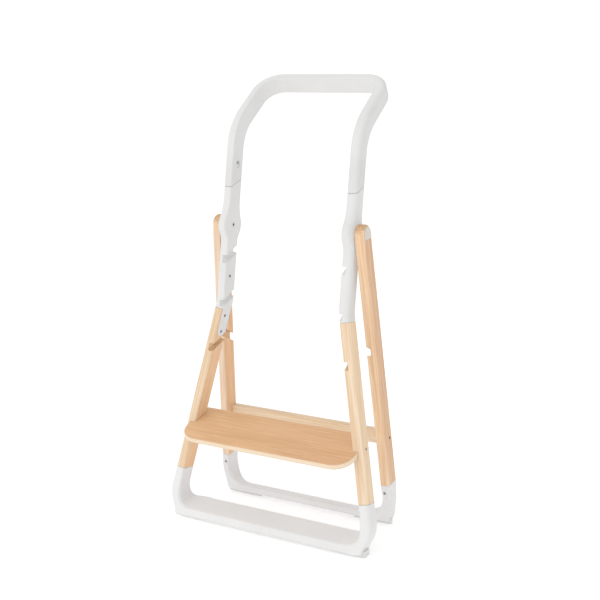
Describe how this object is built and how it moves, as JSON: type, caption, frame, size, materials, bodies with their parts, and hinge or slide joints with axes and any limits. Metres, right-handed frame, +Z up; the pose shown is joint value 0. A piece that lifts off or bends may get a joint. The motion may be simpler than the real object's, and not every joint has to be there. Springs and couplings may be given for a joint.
{
  "type": "step frame with grab handle",
  "caption": "Slim leaning step frame: hinged wood and white moulded U frames on floor loops, one slanted foot board, tall U grab handle and spare grooves.",
  "frame": {"origin": "floor level, on the symmetry plane, at the middle of the overall depth", "axes": "+X to the object's own left-right axis (right as seen from the front), +Y towards the rear frame, +Z up"},
  "size_m": [0.5652, 0.3566, 1.1043],
  "materials": {
    "screw_steel": "dark zinc plating",
    "bolt_steel": "satin",
    "foot_rubber": "matt",
    "leg_wood": "clear satin lacquer",
    "board_plywood": "clear satin lacquer",
    "small_white": "satin",
    "white_moulding": "satin"
  },
  "bodies": {
    "front_frame": {"front_base": "white_moulding", "front_left_foot": "foot_rubber", "front_right_foot": "foot_rubber", "handle": "white_moulding", "left_board_screw": "screw_steel", "left_front_base_screw": "screw_steel", "left_front_leg": "leg_wood", "left_front_post": "white_moulding", "left_handle_screw": "screw_steel", "left_lower_tongue_screw": "screw_steel", "left_pivot_bolt": "bolt_steel", "left_pivot_nut": "bolt_steel", "left_pivot_washer": "small_white", "left_post_screw": "screw_steel", "left_upper_tongue_screw": "screw_steel", "right_board_screw": "screw_steel", "right_front_base_screw": "screw_steel", "right_front_leg": "leg_wood", "right_front_post": "white_moulding", "right_handle_screw": "screw_steel", "right_lower_tongue_screw": "screw_steel", "right_pivot_bolt": "bolt_steel", "right_pivot_nut": "bolt_steel", "right_pivot_washer": "small_white", "right_post_screw": "screw_steel", "right_upper_tongue_screw": "screw_steel", "step_board": "board_plywood"},
    "rear_frame": {"left_crossbar_screw": "screw_steel", "left_pivot_cap": "small_white", "left_rear_base_screw": "screw_steel", "left_rear_leg": "leg_wood", "rear_base": "white_moulding", "rear_crossbar": "leg_wood", "rear_left_foot": "foot_rubber", "rear_right_foot": "foot_rubber", "right_crossbar_screw": "screw_steel", "right_pivot_cap": "small_white", "right_rear_base_screw": "screw_steel", "right_rear_leg": "leg_wood"}
  },
  "joints": [
    {"name": "rear_frame_hinge", "type": "hinge", "parent": "front_frame", "child": "rear_frame", "pos_m": [0, -0.02601, 0.74008], "axis": [-1, 0, 0], "range_deg": [0, 6]}
  ]
}
